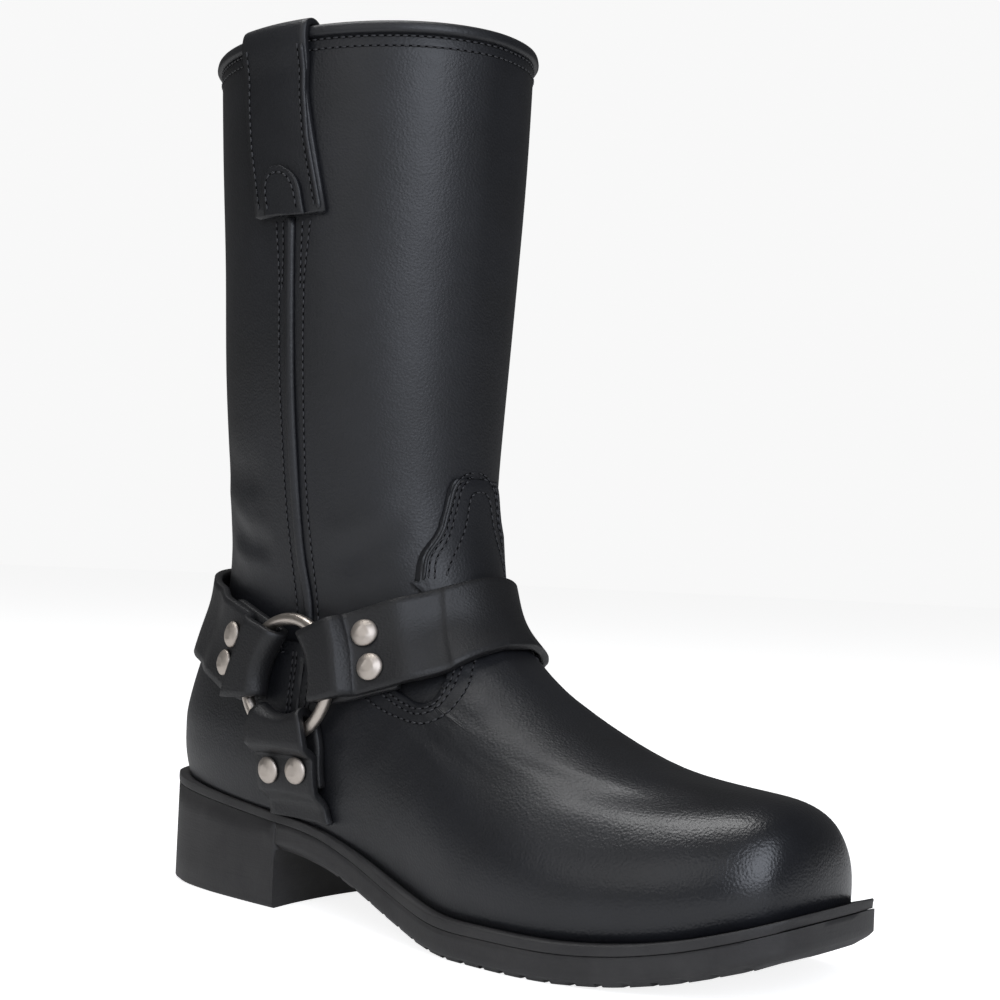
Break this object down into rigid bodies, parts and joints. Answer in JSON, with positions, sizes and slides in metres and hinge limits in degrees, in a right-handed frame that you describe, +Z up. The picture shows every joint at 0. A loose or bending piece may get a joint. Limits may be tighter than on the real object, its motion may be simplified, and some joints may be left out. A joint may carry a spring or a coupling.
{
  "type": "motorcycle boot",
  "caption": "Black leather pull-on motorcycle boot for the right foot, with a square toe, an ankle harness of straps and metal rings, and a block heel.",
  "frame": {"origin": "centre of the boot's bounding box in plan, on the floor that the heel and the forefoot stand on", "axes": "+X from the heel to the toe, +Y towards the inner side of this right boot, +Z up through the collar"},
  "size_m": [0.3062, 0.1182, 0.338],
  "materials": {
    "upper_leather": "smooth oiled leather, satin",
    "strap_leather": "smooth strap leather, satin, with plain cut edges",
    "insole_leather": "plain undyed insole leather, matt",
    "sole_rubber": "moulded rubber, matt",
    "nickel": "brushed nickel plate, satin"
  },
  "bodies": {
    "root": {"collar_binding": "upper_leather", "counter": "upper_leather", "heel": "sole_rubber", "insole": "insole_leather", "outsole": "sole_rubber", "pull_strap_inner": "strap_leather", "pull_strap_outer": "strap_leather", "pull_tab_inner": "strap_leather", "pull_tab_outer": "strap_leather", "ring_inner": "nickel", "ring_outer": "nickel", "rivet_back_inner_1": "nickel", "rivet_back_inner_2": "nickel", "rivet_back_outer_1": "nickel", "rivet_back_outer_2": "nickel", "rivet_front_inner_1": "nickel", "rivet_front_inner_2": "nickel", "rivet_front_outer_1": "nickel", "rivet_front_outer_2": "nickel", "rivet_under_inner_1": "nickel", "rivet_under_inner_2": "nickel", "rivet_under_outer_1": "nickel", "rivet_under_outer_2": "nickel", "side_piping_inner": "upper_leather", "side_piping_outer": "upper_leather", "strap_back": "strap_leather", "strap_front": "strap_leather", "strap_under_inner": "strap_leather", "strap_under_outer": "strap_leather", "upper": "upper_leather", "vamp": "upper_leather", "welt": "sole_rubber"}
  },
  "joints": []
}
